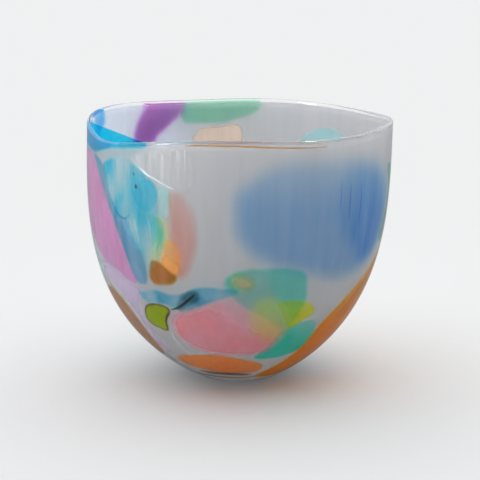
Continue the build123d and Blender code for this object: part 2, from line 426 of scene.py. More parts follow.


# milky glass; on one side it is clearer and bluer: the clearer share lets more real light through,
# and the bluer colour is painted cool light from that side
def opalGlass():
    material, tree = newMaterial("opalGlass")
    patterns = useGroup(tree, drawnGlass, Streaks_Per_Metre=150.0, Clouds_Per_Metre=14.0)
    side = measured(tree, "DOT_PRODUCT", onPiece(tree), opal["litSide"])
    wavering = calc(tree, "MULTIPLY_ADD", patterns["Clouds"], 0.02, side)
    thin = scaled(tree, wavering, opal["litFrom"], opal["litTo"], 0.0, 1.0, "SMOOTHSTEP")
    # the bluer colour on that side is painted light
    white = mixColours(tree, thin, (*opal["white"], 1), (*opal["litCool"], 1))
    shade = scaled(tree, patterns["Streaks"], 0.0, 1.0, 0.95, 1.0)
    white = made(tree, "ShaderNodeVectorMath", {0: white, "Scale": shade}, operation="SCALE")
    milk = mixShaders(tree, opal["letThrough"],
                      made(tree, "ShaderNodeBsdfDiffuse", {"Color": white}),
                      made(tree, "ShaderNodeBsdfTranslucent", {"Color": white}))
    clear = made(tree, "ShaderNodeBsdfTransparent")
    opening = scaled(tree, thin, 0.0, 1.0, opal["clear"], opal["litClear"])
    return finished(material, mixShaders(tree, opening, milk, clear))


# how the milky wall comes out in this light, and how light passes a shard in front of it
wall = {
    "white": (0.40, 0.41, 0.43),
    "sheen": 0.03, "underSheen": 0.93,    # what the casing mirrors, and what is left under it
    "behindFrom": 0.12, "behindSpan": 0.42,    # a shard that is seen through the wall
    "straight": 0.47, "straightSquared": 0.22, "twice": 1.66, "span": 0.9,    # light in and out
    "flesh": 0.85, "mostFlesh": 0.95,
}


# from the colour that a shard should show: what it lets by, and the colour of its body
def shardRecipe(look):
    share = look.get("body", 0.0)
    lets, bodyColour = [], []
    for shown, white in zip(look["colour"], wall["white"]):
        under = shown - wall["sheen"]
        ratio = min(max(under, 0.004) / (wall["underSheen"] * white), 1.0)
        if look.get("throughWall"):
            lets.append(min(max((shown - wall["behindFrom"]) / wall["behindSpan"], 0.01), 1.0))
        else:
            root = sqrt(wall["straightSquared"] + wall["twice"] * ratio)
            lets.append(min((root - wall["straight"]) / wall["span"], 1.0))
        rest = (1 - share) ** 2 * white * ratio
        flesh = (under - rest) / max(wall["flesh"] * share, 0.1)
        bodyColour.append(min(max(flesh, 0.01), wall["mostFlesh"]))
    return lets, bodyColour


# coloured glass that thins away to nothing at its edge
def shardGlass(name, look, seed):
    material, tree = newMaterial(name)
    depth = addNode(tree, "ShaderNodeAttribute", attribute_name="shardDepth").outputs["Fac"]
    strength = addNode(tree, "ShaderNodeAttribute", attribute_name="shardStrength").outputs["Fac"]
    amount = useGroup(tree, shardBleed, Depth=depth, Ragged=look.get("ragged", 0.2))["Amount"]
    amount = times(tree, amount, strength)
    patterns = useGroup(tree, drawnGlass, Seed=seed, Streaks_Per_Metre=look.get("fine", 220.0),
                        Clouds_Per_Metre=look.get("cells", 40.0))
    cloudy, streaky = look.get("cloudy", 0.15), look.get("streaky", 0.08)
    thick = scaled(tree, patterns["Clouds"], 0.0, 1.0, 1 - cloudy, 1 + cloudy)
    drawn = scaled(tree, patterns["Streaks"], 0.0, 1.0, 1 - streaky, 1 + streaky)
    density = times(tree, times(tree, thick, drawn), amount)
    rim = scaled(tree, depth, 0.35, 0.8, 1.0, 0.0, "SMOOTHSTEP")

    def blended(part):
        looks = ({**look, "colour": look.get(key, look["colour"])}
                 for key in ("colour", "other", "edge"))
        main, other, edge = ((*part(*shardRecipe(each)), 1) for each in looks)
        both = mixColours(tree, patterns["Clouds"], main, other)
        return mixColours(tree, rim, both, edge) if "edge" in look else both

    # two faces of the shard are crossed, so each takes the square root
    once = blended(lambda lets, bodyColour: [sqrt(value) for value in lets])
    tint = made(tree, "ShaderNodeGamma", {"Color": once, "Gamma": density})
    shader = made(tree, "ShaderNodeBsdfTransparent", {"Color": tint})
    if look.get("body"):
        fleshColour = blended(lambda lets, bodyColour: bodyColour)
        # paintedGlow is painted light: the body emits its own colour, standing in for light that
        # comes through the wall from behind
        flesh = made(tree, "ShaderNodeBsdfPrincipled", {
            "Base Color": fleshColour, "Roughness": 1.0, "Specular IOR Level": 0.0,
            "Emission Color": fleshColour, "Emission Strength": look.get("paintedGlow", 0.0)})
        share = times(tree, amount, drawn)
        share = times(tree, share, 1 - sqrt(1 - look["body"]))
        shader = mixShaders(tree, share, shader, flesh)
    return finished(material, shader)


# steps of the profiles, which draw together towards the flat
steps = {"outer": 60, "bead": 12, "inner": 52, "floor": 8, "opal": 50, "opalFloor": 6,
         "crowding": 1.25, "opalCrowding": 1.2}


def levelsBetween(low, high, count, crowding):
    return [low + (high - low) * (k / (count - 1)) ** crowding for k in range(count)]


# closed profile of the whole glass: under the flat, up the outside, over the bead, down inside
def glassProfile():
    half = depthAt("inside", beadFoot) / 2
    bead = half + 0.1 * mm
    foot = sideRadius(0)
    points = [(0.0, 0.0), (foot * 0.5, 0.0), (foot - 0.6 * mm, 0.0)]
    points += [sectionPoint("outside", level) for level in
               levelsBetween(0.004, beadFoot, steps["outer"], steps["crowding"])]
    crown = 1 - bead / form["height"]
    for k in range(steps["bead"] + 1):
        turn = pi * k / steps["bead"]
        points.append((sideRadius(crown) - half + bead * cos(turn),
                       crown * form["height"] + bead * sin(turn)))
    points += [sectionPoint("inside", level) for level in
               levelsBetween(0.01, beadFoot, steps["inner"], steps["crowding"])[::-1]]
    return points + dish("inside", points[-1], steps["floor"])[::-1]


# the slightly hollow floor of a surface, from the axis out to its edge
def dish(surface, edge, count):
    r, z = edge
    floor = depthAt(surface, 0)
    return [(r * k / count, floor + (z - floor) * (k / count) ** 2) for k in range(count)]


def opalProfile():
    levels = levelsBetween(0.01, opal["top"], steps["opal"], steps["opalCrowding"])
    up = [sectionPoint("opalTop", level) for level in levels]
    down = [sectionPoint("opalBottom", level) for level in reversed(levels)]
    return (dish("opalTop", up[0], steps["opalFloor"]) + up + down
            + dish("opalBottom", down[-1], steps["opalFloor"])[::-1])


def profileMesh(name, points):
    mesh = bpy.data.meshes.new(name)
    mesh.from_pydata([(r, 0, z) for r, z in points],
                     [(k, k + 1) for k in range(len(points) - 1)], [])
    return mesh


blownForm = blownFormTree()
body = fromTree("glassBody", profileMesh("glassProfile", glassProfile()), blownForm, clearGlass(),
                Spokes=192)
settle(body, "outer_casing",
       "outer_casing", "second_coat", "first_coat", "inner_gather", "lip_bead")
print("glass body: %d faces" % len(body.data.polygons))
veil = fromTree("opalVeil", profileMesh("opalProfile", opalProfile()), blownForm, opalGlass(),
                Spokes=144)
settle(veil, "opal_layer", "opal_layer")
print("opal veil: %d faces" % len(veil.data.polygons))


def clamped(level):
    return min(max(level, 0.0), 1.0)


# back from a point in space to the angle and level on the wall that it lies on
def unwrap(point, surface):
    level = clamped(point.z / form["height"])
    for _ in range(6):
        angle = atan2(point.y, point.x + leanAt(level))
        _, height = sectionPoint(surface, level)
        there = place(0.0, height, angle).z
        level = clamped(level + (point.z - there) / form["height"])
    return angle, level


# length along the mean section from the flat, so that a shard is drawn undistorted
levelSteps = np.linspace(0, 1, 201)
sectionLine = np.array([sectionPoint("first", level) for level in levelSteps])
sectionLength = np.concatenate([[0], np.cumsum(np.hypot(*np.diff(sectionLine, axis=0).T))])


# the longest loop round the outer face of a shard's solid
def outlineOf(node, surface):
    shape = bmesh.new()
    shape.from_mesh(node.data)
    bmesh.ops.remove_doubles(shape, verts=shape.verts, dist=0.005 * mm)
    shape.normal_update()
    middle = sum((v.co for v in shape.verts), Vector()) / len(shape.verts)

    def outer(face):
        spot = face.calc_center_median()
        _, level = unwrap(spot, surface)
        out = Vector((spot.x, spot.y, 0)).normalized()
        out.z = -wallSlope(level)
        return face.normal.dot(out.normalized()) > 0.7

    facing = {face.index for face in shape.faces if outer(face)}
    rim = [edge for edge in shape.edges if len(edge.link_faces) == 2
           and sum(face.index in facing for face in edge.link_faces) == 1]
    after = {}
    for edge in rim:
        a, b = edge.verts
        after.setdefault(a.index, []).append(b.index)
        after.setdefault(b.index, []).append(a.index)
    shape.verts.ensure_lookup_table()
    loops, seen = [], set()
    for start in after:
        if start in seen:
            continue
        loop, here, last = [], start, None
        while here is not None and here not in seen:
            seen.add(here)
            loop.append(here)
            following = [n for n in after[here] if n != last and n not in seen]
            last, here = here, (following[0] if following else None)
        loops.append([shape.verts[n].co.copy() for n in loop])
    shape.free()
    loop = max(loops, key=len)
    start = atan2(middle.y, middle.x)
    flat = np.array([unwrap(co, surface) for co in loop])
    flat[:, 0] = (flat[:, 0] - start + pi) % (2 * pi) - pi
    return start, flat


def evenly(points, step):
    closed = np.vstack([points, points[:1]])
    run = np.concatenate([[0], np.cumsum(np.hypot(*np.diff(closed, axis=0).T))])
    count = max(int(run[-1] / step), 12)
    at = np.linspace(0, run[-1], count, endpoint=False)
    return np.stack([np.interp(at, run, closed[:, 0]), np.interp(at, run, closed[:, 1])], 1)


# distance inside an outline, below zero outside it
def insideDistance(points, loop):
    a = loop
    b = np.roll(loop, -1, axis=0)
    ab = b - a
    length = (ab ** 2).sum(1)
    t = (((points[:, None] - a) * ab).sum(2) / length).clip(0, 1)
    near = a + t[..., None] * ab
    distance = np.sqrt(((points[:, None] - near) ** 2).sum(2)).min(1)
    x, y = points[:, 0, None], points[:, 1, None]
    crosses = (a[:, 1] > y) != (b[:, 1] > y)
    rise = np.where(np.abs(ab[:, 1]) < 1e-12, 1e-12, ab[:, 1])
    hit = crosses & (x < a[:, 0] + (y - a[:, 1]) / rise * ab[:, 0])
    return np.where(hit.sum(1) % 2 == 1, distance, -distance)


# how the lenses of colour are meshed
lens = {
    "outline": 1.6 * mm, "pitch": 2.4 * mm,    # between points on the outline and inside it
    "rings": (1.0, 0.6, 0.2, -0.2, -0.6, -1.0),    # out to in, in shares of the feather
    "thinHalf": 0.03 * mm, "swell": 0.17 * mm,    # half the thickness at the edge, and more inside
    "lowest": 4 * mm,
}


def eased(share):
    return share * share * (3 - 2 * share)


# an even outline with its corners rounded off, as length round the wall and length up it
def softOutline(flat, meanRadius):
    up = np.interp(flat[:, 1], levelSteps, sectionLength)
    loop = evenly(np.stack([flat[:, 0] * meanRadius, up], 1), lens["outline"])
    for _ in range(3):
        loop = (np.roll(loop, 1, axis=0) + 2 * loop + np.roll(loop, -1, axis=0)) / 4
    return loop


# rings of points that follow the bleeding edge, and an even field of them inside
def lensPoints(loop, feather):
    ahead = np.roll(loop, -1, axis=0)
    tangent = ahead - np.roll(loop, 1, axis=0)
    tangent /= np.hypot(*tangent.T)[:, None]
    normal = np.stack([tangent[:, 1], -tangent[:, 0]], 1)
    area = (loop[:, 0] * ahead[:, 1] - ahead[:, 0] * loop[:, 1]).sum()
    normal *= 1 if area > 0 else -1
    rings = []
    for share in lens["rings"]:
        ring = loop + normal * feather * share
        off = np.abs(insideDistance(ring, loop) + feather * share)
        rings.append(ring[off < 0.12 * feather + 0.02 * mm])
    low, high, pitch = loop.min(0) - feather, loop.max(0) + feather, lens["pitch"]
    xs, ys = np.arange(low[0], high[0], pitch), np.arange(low[1], high[1], pitch * 0.87)
    field = np.array([(x + (row % 2) * pitch / 2, y) for row, y in enumerate(ys) for x in xs])
    field = field[insideDistance(field, loop) > feather + 0.6 * pitch]
    return np.vstack(rings + [field])


# triangles between the points, kept where they lie on the shard
def lensFaces(points, loop, feather):
    corners, _, triangles, *_ = delaunay_2d_cdt([Vector(p) for p in points], [], [], 0, 1e-7)
    spots = np.array([tuple(v) for v in corners])
    centre = np.array([spots[list(f)].mean(0) for f in triangles])
    inside = insideDistance(centre, loop) > -feather * 0.97
    faces = [list(f) for f, good in zip(triangles, inside) if good]
    used = sorted({v for f in faces for v in f})
    number = {v: k for k, v in enumerate(used)}
    return spots[used], [[number[v] for v in f] for f in faces]


# the colour fades across a shard where it was stretched: direction, start, end, what is left
def fadeOver(spots, fade):
    x, y, start, end, least = fade
    share = (spots - spots.min(0)) / (spots.max(0) - spots.min(0))
    step = ((share @ np.array([x, y]) - start) / (end - start)).clip(0, 1)
    return 1 + (least - 1) * eased(step)


# a lens of coloured glass on the wall, as thick as its pass in the middle and thin at its edge
def lensMesh(name, middle, flat, surface, look):
    meanRadius = np.mean([sideRadius(level) for level in flat[:, 1]])
    loop = softOutline(flat, meanRadius)
    feather = look.get("feather", 3.0) * mm
    points = lensPoints(loop, feather)
    top = np.interp(look.get("top", 0.985), levelSteps, sectionLength)
    points = points[(points[:, 1] < top) & (points[:, 1] > lens["lowest"])]
    spots, faces = lensFaces(points, loop, feather)
    depth = ((insideDistance(spots, loop) + feather) / (2 * feather)).clip(0, 1)
    levels = np.interp(spots[:, 1], sectionLength, levelSteps)
    halves = lens["thinHalf"] + lens["swell"] * eased(depth)
    nudge = look.get("nudge", 0.0) * mm
    verts = [wallPoint(surface, level, middle + across / meanRadius, sign * half + nudge)
             for sign in (-1, 1) for (across, _), level, half in zip(spots, levels, halves)]
    count = len(spots)
    edges = [(a, b) for f in faces for a, b in zip(f, f[1:] + f[:1])]
    known = set(edges)
    allFaces = faces + [[v + count for v in reversed(f)] for f in faces]
    allFaces += [[b, a, a + count, b + count] for a, b in edges if (b, a) not in known]
    mesh = newMesh(name, verts, allFaces)
    strength = fadeOver(spots, look.get("fade", (1, 0, 2, 3, 1)))
    for label, values in (("shardDepth", depth), ("shardStrength", strength)):
        mesh.attributes.new(label, "FLOAT", "POINT").data.foreach_set(
            "value", np.concatenate([values, values]).astype(np.float32))
    return mesh


# how each shard looks: the colour it shows on the milky wall, how wide its edge bleeds in mm,
# and how much of it is solid colour that light doesn't get through
# a shard's paintedGlow is painted light, an emission that makes it show brighter than the wall
shardLooks = {
    "aqua_lip": dict(colour=(0.005, 0.26, 0.5), feather=2.2, top=0.996, cloudy=0.3),
    "pink_left": dict(
        colour=(0.46, 0.27, 0.44), other=(0.5, 0.25, 0.38), feather=1.4, body=0.3, streaky=0.3,
        fine=320, fade=(-1, 0, -0.55, 0.0, 0.6)),
    "turquoise": dict(
        colour=(0.32, 0.44, 0.57), other=(0.09, 0.36, 0.46), feather=2.5, body=0.25, cloudy=0.5,
        streaky=0.4, cells=80, fade=(1, -0.3, 0.5, 0.85, 0.45)),
    "steel_band": dict(
        colour=(0.15, 0.28, 0.38), other=(0.2, 0.33, 0.44), feather=1.5, body=0.1, cloudy=0.5,
        streaky=0.4),
    "sky_chip": dict(
        colour=(0.2, 0.42, 0.66), other=(0.07, 0.34, 0.5), feather=1.2, body=0.15, cloudy=0.5,
        streaky=0.3, cells=90, fade=(0, -1, -0.6, 0.0, 0.6)),
    "sky_sliver": dict(colour=(0.33, 0.5, 0.76), feather=1.6, body=0.3),
    "salmon": dict(
        colour=(0.46, 0.29, 0.27), feather=4.0, body=0.4, streaky=0.15,
        fade=(0.5, 1, 0.6, 1.3, 0.3)),
    "umber_chip": dict(
        colour=(0.46, 0.16, 0.09), other=(0.26, 0.18, 0.02), feather=1.8, body=0.45, cloudy=0.6,
        cells=60),
    "citron": dict(colour=(0.5, 0.5, 0.3), feather=3.0, body=0.5),
    "orange_wedge": dict(
        colour=(0.92, 0.36, 0.14), feather=2.0, body=0.8, paintedGlow=0.15,
        fade=(0.6, 0.8, 0.3, 1.0, 0.35)),
    "powder_blue": dict(colour=(0.42, 0.57, 0.88), feather=2.5, body=0.5),
    "sky_oval": dict(
        colour=(0.16, 0.27, 0.44), other=(0.2, 0.3, 0.44), feather=8.5, cloudy=0.2, streaky=0.1,
        fade=(0.1, 1, 0.55, 1.05, 0.35)),
    "cobalt_oval": dict(
        colour=(0.14, 0.27, 0.5), feather=8.0, streaky=0.4, fine=160,
        fade=(-0.8, 0.6, -0.7, 0.6, 0.1)),
    "seafoam": dict(colour=(0.16, 0.34, 0.3), feather=1.5),
    "steel_streak": dict(
        colour=(0.2, 0.38, 0.55), other=(0.11, 0.29, 0.4), feather=1.8, body=0.15, ragged=0.6,
        cloudy=0.5, cells=90),
    "charcoal_knot": dict(
        colour=(0.08, 0.12, 0.13), feather=2.0, ragged=0.9, cloudy=0.6, cells=120),
    "olive": dict(
        colour=(0.34, 0.44, 0.005), other=(0.24, 0.31, 0.005), edge=(0.05, 0.035, 0.02),
        feather=1.7, body=0.5),
    "sand_chip": dict(colour=(0.72, 0.46, 0.26), feather=3.2, body=0.55, ragged=0.7, cloudy=0.5),
    "teal": dict(colour=(0.1, 0.38, 0.33), other=(0.17, 0.38, 0.36), feather=2.0, cloudy=0.4),
    "lime": dict(
        colour=(0.55, 0.56, 0.08), other=(0.6, 0.5, 0.06), feather=0.8, body=0.3,
        fade=(-0.3, 1, 0.1, 0.7, 0.55)),
    "rose_low": dict(
        colour=(0.72, 0.25, 0.27), other=(0.6, 0.34, 0.4), feather=4.5, body=0.72, paintedGlow=0.1,
        fade=(0.75, 1, 0.68, 1.2, 0.12)),
    "green_low": dict(
        colour=(0.01, 0.4, 0.27), other=(0.1, 0.4, 0.33), feather=1.4,
        fade=(0.5, 1, 0.7, 1.4, 0.25)),
    "lilac": dict(colour=(0.54, 0.47, 0.78), feather=4.0, body=0.65),
    "rust": dict(colour=(0.34, 0.18, 0.11), other=(0.38, 0.22, 0.1), feather=1.4, body=0.2),
    "orange_foot": dict(
        colour=(0.8, 0.22, 0.07), other=(0.72, 0.28, 0.11), feather=1.8, body=0.8, paintedGlow=0.1,
        fade=(-1, 0, -0.5, 0.0, 0.6)),
    "amber_crescent": dict(
        colour=(0.72, 0.19, 0.0), other=(0.6, 0.22, 0.0), feather=2.2, body=0.6, paintedGlow=0.1,
        fade=(0, 1, 0.4, 0.9, 0.45)),
    "yellow_band": dict(colour=(0.38, 0.31, 0.01), feather=1.6, body=0.3),
    "purple": dict(
        colour=(0.29, 0.05, 0.27), other=(0.24, 0.06, 0.3), feather=3.6, throughWall=True,
        top=0.992, fade=(0, 1, 0.7, 1.1, 0.4)),
    "mint": dict(
        colour=(0.21, 0.48, 0.34), feather=1.4, throughWall=True, top=0.992,
        fade=(0, 1, 0.7, 1.1, 0.45)),
    "peach": dict(
        colour=(0.64, 0.54, 0.46), edge=(0.48, 0.38, 0.32), feather=1.3, body=0.8, paintedGlow=0.22,
        surface="opalBottom", nudge=0.35),
    "pale_blue": dict(
        colour=(0.33, 0.51, 0.74), feather=1.0, body=0.45, surface="opalBottom", nudge=0.35),
    "ice": dict(colour=(0.08, 0.36, 0.52), feather=1.2, throughWall=True, top=0.992),
    "amber_back": dict(colour=(0.34, 0.16, 0.03), feather=4.0),
    "blush_back": dict(colour=(0.42, 0.24, 0.27), feather=5.0, body=0.3),
    "teal_back": dict(colour=(0.1, 0.3, 0.28), feather=3.0),
    "coral_back": dict(colour=(0.44, 0.24, 0.18), feather=4.0, body=0.3),
    "violet_back": dict(colour=(0.26, 0.2, 0.36), feather=3.0),
    "orange_back": dict(colour=(0.46, 0.2, 0.05), feather=3.0, body=0.3),
}
secondPass = ("aqua_lip", "pink_left", "turquoise", "orange_wedge", "cobalt_oval", "seafoam",
              "steel_streak", "olive", "lime", "rose_low", "amber_crescent", "purple", "peach",
              "amber_back", "teal_back")

# these run on up into the melted lip; the aqua one narrows between two angles in degrees
intoLip = {"shards": ("aqua_lip", "purple", "mint", "ice"), "narrows": (198, 218), "thin": 0.3}

for count, (name, look) in enumerate(shardLooks.items()):
    node = "shard_" + name
    surface = "second" if name in secondPass else "first"
    look.setdefault("nudge", 0.02 * (count % 5 - 2))    # so that no two lenses coincide
    middle, flat = outlineOf(nodes[node], surface)
    if name in intoLip["shards"]:
        flat[flat[:, 1] > beadFoot - 0.004, 1] = 1.0
    if name == "aqua_lip":
        around = np.degrees(flat[:, 0] + middle) % 360
        flat[:, 1] = 1 - (1 - flat[:, 1]) * np.interp(around, intoLip["narrows"],
                                                      (1, intoLip["thin"]))
    mesh = lensMesh(node + "_glass", middle, flat, look.get("surface", surface), look)
    lay(node + "_glass", mesh, shardGlass(node + "Glass", look, count * 1.7), node, node)
print("shards laid: %d" % len(shardLooks))


# marks in the casing that aren't shards, and a painted reflection: outline as (angle in degrees,
# level in percent)
wisps = {
    # painted reflection: a pale streaky film where a window's reflection shows on the front of the
    # wall
    "painted_window_reflection": dict(
        outline=((230, 95), (234, 92), (238, 87), (243, 84), (247, 82.6), (252, 82), (255, 84),
                 (255, 90), (254, 96), (242, 97)),
        slot="opal_layer", colour=(0.5, 0.57, 0.68), feather=2.0, body=0.2, streaky=0.9, fine=240),
    "khaki_bleed": dict(
        outline=((278, 41.8), (284, 42.7), (290.5, 37.6), (293, 31.5), (291, 25.9), (284.5, 24.1),
                 (279, 28.2), (276.5, 35.3)),
        colour=(0.56, 0.5, 0.24), feather=6.0, body=0.4),
    "foot_grey": dict(
        outline=((237, 7), (248, 7.2), (262, 7), (276, 6.6), (284, 6), (276, 5.2), (262, 5.4),
                 (246, 5.6)),
        colour=(0.12, 0.12, 0.11), feather=0.9),
    "foot_blush": dict(
        outline=((224, 5), (240, 4.6), (258, 4.3), (276, 4.3), (292, 4.4), (284, 3), (262, 2.7),
                 (240, 2.9)),
        colour=(0.75, 0.36, 0.3), feather=0.9, body=0.5),
}

# drawn threads and streaks of painted reflection: a line of (angle in degrees, level in percent)
# and a width in mm
pale, cyan = (0.66, 0.72, 0.80), (0.36, 0.70, 0.80)
threads = {
    "pocket_edge": dict(
        line=((212, 89.8), (216, 80.1), (219.5, 74.9), (223, 71), (226.5, 69.6), (230.5, 72.8)),
        width=1.0, colour=(0.12, 0.21, 0.3), feather=0.6),
    "olive_tail": dict(
        line=((242, 36.7), (245.5, 37.6), (249, 39.7), (252.5, 42.7), (255, 44.7)), width=1.2,
        colour=(0.06, 0.06, 0.05), feather=0.7),
    "olive_side": dict(
        line=((241.5, 36.2), (238.5, 32.1), (237.5, 28.2), (237.5, 26.2)), width=1.0,
        colour=(0.16, 0.11, 0.1), feather=0.6),
    "amber_line": dict(
        line=((247, 83.3), (247, 79.8), (247.5, 76.3), (247, 73.1)), width=0.6,
        colour=(0.4, 0.27, 0.12), feather=0.4),
    "veil_a": dict(
        line=((203.5, 42.3), (211, 39.4), (218, 34.7), (221.5, 28.2), (221, 20.6)), width=1.8,
        colour=pale, feather=1.2, body=0.4),
    "veil_b": dict(
        line=((239.5, 33.3), (239, 28.8), (238.5, 22.7), (241, 18.2), (246.5, 15.9)), width=1.6,
        colour=pale, feather=1.2, body=0.4),
    "veil_c": dict(
        line=((240.5, 16.4), (253.5, 18.8), (261.5, 18.5), (270, 17)), width=1.4,
        colour=(0.72, 0.62, 0.64), feather=1.0, body=0.5),
    # painted reflection: pale vertical streaks that stand in for a window mirrored near the top of
    # the wall
    "reflection_streak_a": dict(
        line=((248, 98), (247.7, 95), (247.5, 90)), width=0.5, colour=pale, body=0.45),
    "reflection_streak_b": dict(
        line=((250, 98), (250.3, 94), (250.5, 87)), width=0.8, colour=pale, body=0.4),
    "reflection_streak_c": dict(
        line=((252.5, 98), (252.8, 95), (253, 89)), width=0.5, colour=pale, body=0.45),
    "reflection_streak_d": dict(
        line=((244.5, 97.5), (245, 93), (245, 87)), width=0.6, colour=pale, body=0.4),
    "cyan_a": dict(
        line=((232, 72), (232.5, 66.6), (234, 61.4)), width=1.2, colour=cyan, body=0.4),
    "cyan_b": dict(
        line=((237.5, 73), (239, 68.9), (239, 63.7)), width=0.9, colour=cyan, body=0.4),
    "cyan_c": dict(
        line=((229, 73.4), (230, 68), (231.5, 63.4)), width=0.7, colour=cyan, body=0.4),
    "foot_line": dict(
        line=((215.5, 3.6), (242, 3.6), (268, 3.8), (290.5, 3.6)), width=1.4,
        colour=(0.85, 0.42, 0.38), feather=0.8, body=0.6),
    "pale_left": dict(
        line=((191, 64), (194.5, 59), (199, 54.3), (203.5, 50.5)), width=2.4,
        colour=(0.5, 0.66, 0.95), feather=1.6, body=0.5),
    "cobalt_a": dict(
        line=((309, 85.9), (309, 78.6), (309, 72.2)), width=0.8, colour=(0.22, 0.24, 0.5)),
    "cobalt_b": dict(
        line=((313.5, 83.1), (313.5, 74.9), (313.5, 67.6)), width=1.0, colour=(0.24, 0.23, 0.48)),
    "cobalt_c": dict(
        line=((319, 83.7), (319.5, 74.1), (319, 64.1)), width=0.8, colour=(0.18, 0.22, 0.48)),
    "lip_brown": dict(
        line=((252, 98.4), (256.5, 98.5), (270.5, 98.3), (280.5, 97.9), (291, 97.6), (303, 97.4)),
        width=0.9, colour=(0.26, 0.12, 0.06), feather=0.5, top=0.992, slot="lip_bead"),
    "peach_edge": dict(
        line=((109, 84.4), (107.5, 86.2), (104.5, 87.8), (100, 88.4), (94, 89.4), (89, 89.8)),
        width=0.9, colour=(0.3, 0.29, 0.28), surface="opalBottom", nudge=0.3, body=0.4),
}


# a line of a few points, filled in with more
def filledIn(line, count):
    line = np.array(line, float)
    at = np.linspace(0, len(line) - 1, count)
    return np.stack([np.interp(at, range(len(line)), column) for column in line.T], 1)


# both sides of a thread, pointed at its ends
def ribbon(line, width):
    line = filledIn(line, 24)
    scale = np.array([radians(1) * sideRadius(line[:, 1].mean() / 100), form["height"] / 100])
    along = np.gradient(line * scale, axis=0)
    side = np.stack([-along[:, 1], along[:, 0]], 1) / np.hypot(*along.T)[:, None]
    side *= (np.sin(np.linspace(0.2, pi - 0.2, len(line))) * width * mm / 2)[:, None]
    return np.vstack([line + side / scale, (line - side / scale)[::-1]])


for name, look in threads.items():
    wisps[name] = {"outline": ribbon(look["line"], look["width"]), "feather": 0.5, **look}
for count, (name, look) in enumerate(wisps.items()):
    look = {"slot": "second_coat", "surface": "second", "nudge": -0.35, **look}
    outline = np.array(look["outline"], float)
    flat = np.stack([np.radians(outline[:, 0] - outline[0, 0]), outline[:, 1] / 100], 1)
    mesh = lensMesh(name, radians(outline[0, 0]), flat, look["surface"], look)
    lay(name, mesh, shardGlass(name + "Glass", look, 90.0 + count), look["slot"])
print("wisps and threads laid: %d" % len(wisps))

# the crease where the casing folded over itself: (angle, level, radius in mm)
crease = {
    "line": ((231, 94, 0.12), (235, 90.5, 0.3), (237.5, 88.6, 0.7), (239, 87.6, 0.45),
             (243, 85.7, 0.3), (247, 83.6, 0.4), (249.5, 82.8, 0.12)),
    "depth": 0.5 * mm, "stations": 60, "sides": 8,
    # the fold's white colour and its glow are a painted highlight on the crease
    "colour": (0.93, 0.96, 1.0), "paintedHighlight": (0.80, 0.90, 1.0), "paintedHighlightStrength": 0.3,
}


def creaseMesh():
    stations, sides = crease["stations"], crease["sides"]
    verts = []
    for angle, level, radius in filledIn(crease["line"], stations):
        towards = radians(angle)
        spot = wallPoint("outside", level / 100, towards, crease["depth"])
        out = Vector((cos(towards), sin(towards), 0))
        along = out.cross(Vector((0, 0, 1))) + Vector((0, 0, 0.6))
        across = along.cross(out).normalized()
        for n in range(sides):
            turn = 2 * pi * n / sides
            rim = cos(turn) * across + 0.5 * sin(turn) * out
            verts.append(spot + float(radius) * mm * rim)
    faces = wrapped(stations - 1, sides)
    faces += [list(range(sides))[::-1], [len(verts) - sides + n for n in range(sides)]]
    return newMesh("crease", verts, faces)


# a fold drawn as a painted highlight: its white colour and its glow make it show lighter than the
# wall
def paintedFoldHighlight():
    material, tree = newMaterial("paintedFoldHighlight")
    bright = made(tree, "ShaderNodeBsdfPrincipled", {
        "Base Color": (*crease["colour"], 1), "Roughness": 0.15,
        "Emission Color": (*crease["paintedHighlight"], 1),
        "Emission Strength": crease["paintedHighlightStrength"]})
    clear = made(tree, "ShaderNodeBsdfTransparent")
    patterns = useGroup(tree, drawnGlass, Clouds_Per_Metre=150.0)
    share = scaled(tree, patterns["Clouds"], 0, 1, 0.45, 0.9)
    return finished(material, mixShaders(tree, share, clear, bright))


lay("crease", creaseMesh(), paintedFoldHighlight(), "outer_casing")

# specks of unmelted colour: (angle, level, width in mm, height in mm)
specks = {
    "spots": ((232.3, 87.8, 0.9, 1.6), (233.3, 83.2, 1.7, 2.6), (231.6, 81.0, 0.5, 0.6),
              (242.3, 72.0, 0.6, 0.4), (241.5, 60.0, 0.5, 0.4), (240.6, 45.6, 0.5, 0.3)),
    "depth": 0.85 * mm, "flatness": 0.09, "lumps": 0.5,
    "colour": (0.10, 0.085, 0.015), "mottle": (0.05, 0.07, 0.05), "bleed": (0.6, 0.62, 0.4),
}


def specksMesh():
    shape = bmesh.new()
    for angle, level, width, height in specks["spots"]:
        ball = bmesh.ops.create_icosphere(shape, subdivisions=3, radius=1.0)["verts"]
        towards = radians(angle)
        spot = wallPoint("outside", level / 100, towards, specks["depth"])
        out = Vector((cos(towards), sin(towards), 0))
        across = Vector((-sin(towards), cos(towards), 0))
        for vert in ball:
            x, y, z = vert.co
            lump = 1 + specks["lumps"] * noise.noise(vert.co * 1.7 + Vector((angle, level, 0)))
            vert.co = spot + mm * (x * width / 2 * lump * across + y * specks["flatness"] * out
                                   + z * height / 2 * lump * Vector((0, 0, 1)))
    mesh = meshFrom(shape, "specks")
    mesh.shade_smooth()
    outwards(mesh)
    return mesh


def speckGlass():
    material, tree = newMaterial("speck")
    mottle = noiseOn(tree, onPiece(tree), 1400.0, 3.0)
    colour = mixColours(tree, mottle, (*specks["colour"], 1), (*specks["mottle"], 1))
    dark = made(tree, "ShaderNodeBsdfPrincipled", {"Base Color": colour, "Roughness": 0.4})
    clear = made(tree, "ShaderNodeBsdfTransparent", {"Color": (*specks["bleed"], 1)})
    return finished(material, mixShaders(tree, 0.2, dark, clear))


lay("specks", specksMesh(), speckGlass(), "outer_casing")


